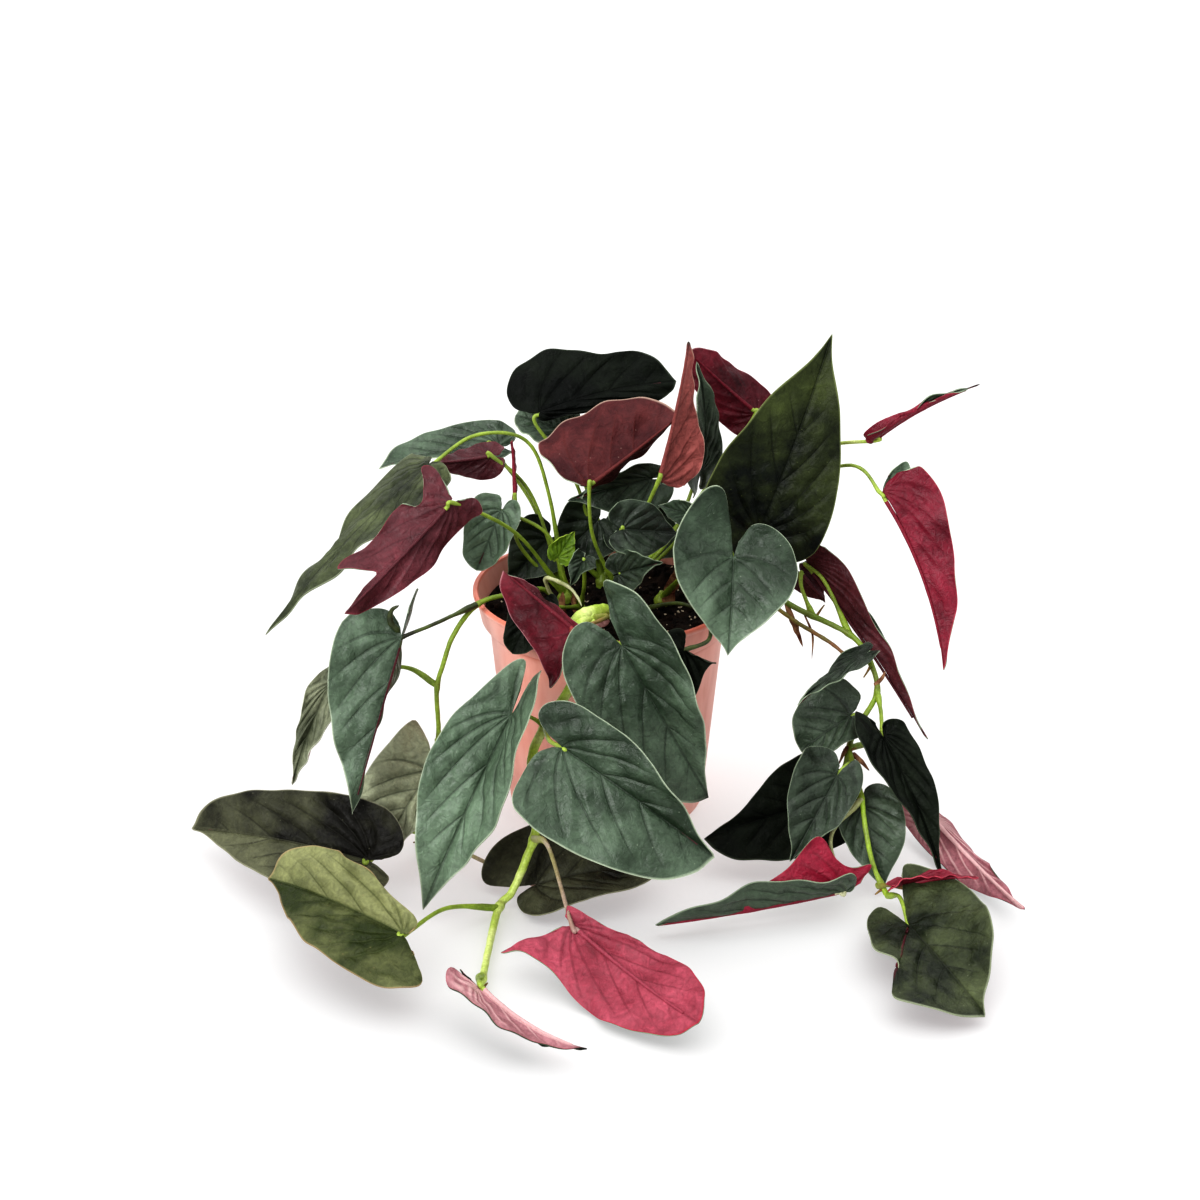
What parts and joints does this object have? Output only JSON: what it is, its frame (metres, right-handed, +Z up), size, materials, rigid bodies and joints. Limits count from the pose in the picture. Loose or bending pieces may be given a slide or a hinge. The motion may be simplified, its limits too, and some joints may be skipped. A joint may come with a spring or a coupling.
{
  "type": "potted arrowhead vine",
  "caption": "Potted red arrow syngonium: dark arrow-shaped leaves, maroon beneath, on upright and trailing stems in a small round nursery pot of thin plastic.",
  "frame": {"origin": "middle of the pot's flat underside, on the surface it stands on", "axes": "+Z up along the pot's axis, -Y towards the front, where the middle stem trails over the rim"},
  "size_m": [0.356, 0.278, 0.2182],
  "materials": {
    "pot_plastic": "satin",
    "peat": "matte",
    "dark_leaf": "satin",
    "green_leaf": "satin",
    "rosy_leaf": "satin",
    "young_leaf": "satin"
  },
  "bodies": {
    "root": {"pot": "pot_plastic", "soil": "peat", "shoot_back": "dark_leaf", "shoot_left_high": "green_leaf", "shoot_centre_tall": "rosy_leaf", "shoot_right_high": "green_leaf", "shoot_small_right": "dark_leaf", "shoot_young": "young_leaf", "shoot_left_trailing": "green_leaf", "shoot_front_trailing": "green_leaf", "shoot_right_trailing": "dark_leaf"}
  },
  "joints": []
}
